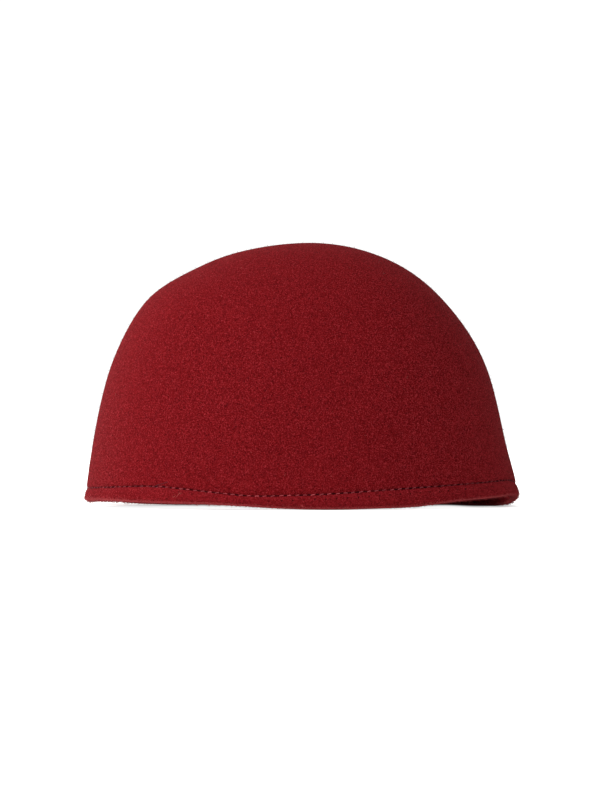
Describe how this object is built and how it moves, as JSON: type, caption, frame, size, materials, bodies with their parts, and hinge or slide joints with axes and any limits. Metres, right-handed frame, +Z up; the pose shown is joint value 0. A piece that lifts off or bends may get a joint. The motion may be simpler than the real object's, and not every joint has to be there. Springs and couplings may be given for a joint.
{
  "type": "felt cap",
  "caption": "Close-fitting brimless cap of blocked wool felt: a domed crown whose lower edge is turned up inside as a stitched hem.",
  "frame": {"origin": "centre of the cap's box, on the surface that its rim rests on", "axes": "-X towards the wearer's forehead and +X towards the nape, +Y towards the wearer's right ear, +Z up through the crown"},
  "size_m": [0.205, 0.172, 0.1245],
  "materials": {
    "wool_felt": "brushed crimson wool felt, matt, with a short nap"
  },
  "bodies": {
    "root": {"felt_crown": "wool_felt"}
  },
  "joints": []
}
